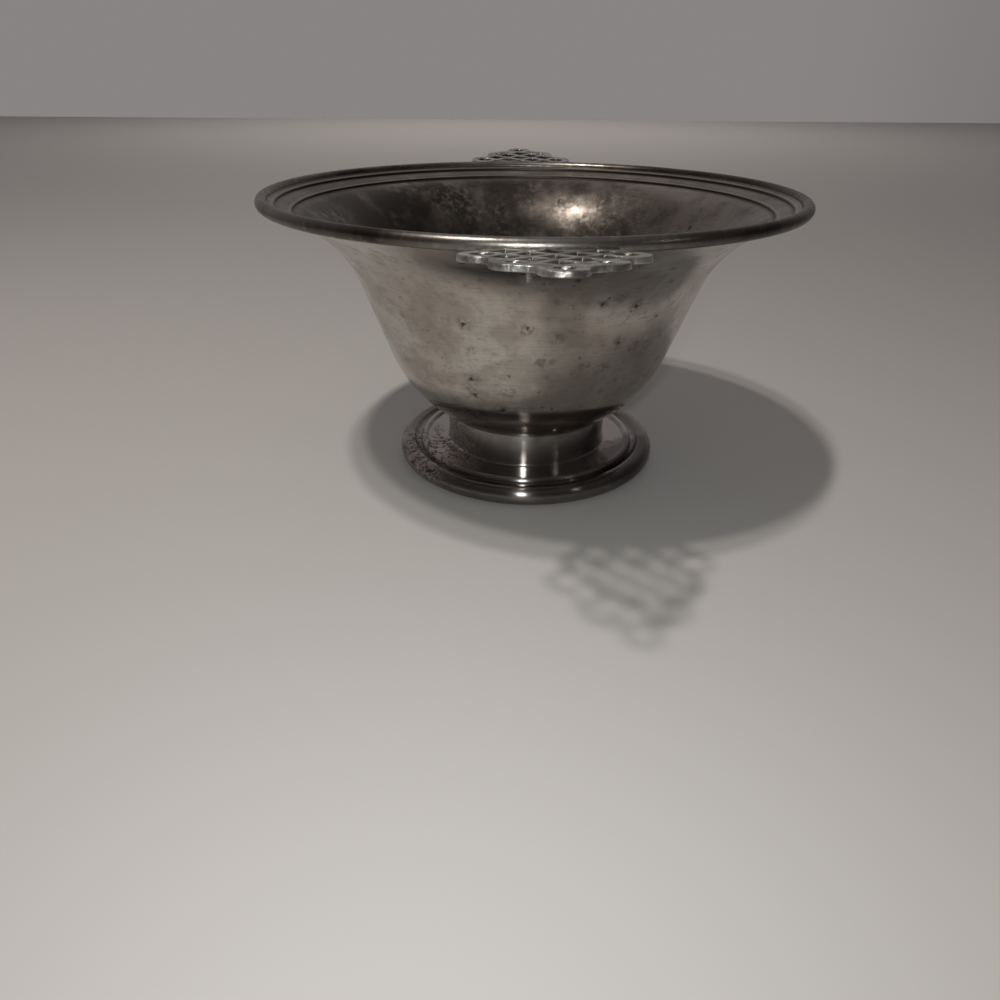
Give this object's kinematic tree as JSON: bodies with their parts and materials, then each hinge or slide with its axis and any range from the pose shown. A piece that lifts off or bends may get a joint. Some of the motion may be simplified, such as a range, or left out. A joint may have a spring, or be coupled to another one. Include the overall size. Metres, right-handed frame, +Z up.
{
  "type": "porringer",
  "caption": "Footed pewter porringer: flared spun bowl with a reeded, wired lip, two thin pierced lattice handles at the rim and a necked foot with a bead and a rolled edge, for serving food.",
  "frame": {"origin": "centre of the foot's standing ring, on the table", "axes": "+Z up along the bowl's axis, the front handle towards -Y and the rear handle towards +Y"},
  "size_m": [0.152, 0.2128, 0.0836],
  "materials": {
    "pewter_bowl": "aged spun pewter, satin, with tarnish and small pits",
    "pewter_foot": "aged spun pewter, darker and glossier than the bowl",
    "pewter_handle": "aged cast pewter, worn bright on the edges",
    "solder": "soft solder, dull"
  },
  "bodies": {
    "root": {"bowl": "pewter_bowl", "rim_wire": "pewter_bowl", "foot": "pewter_foot", "foot_solder": "solder", "front_handle": "pewter_handle", "front_handle_solder": "solder", "rear_handle": "pewter_handle", "rear_handle_solder": "solder"}
  },
  "joints": []
}
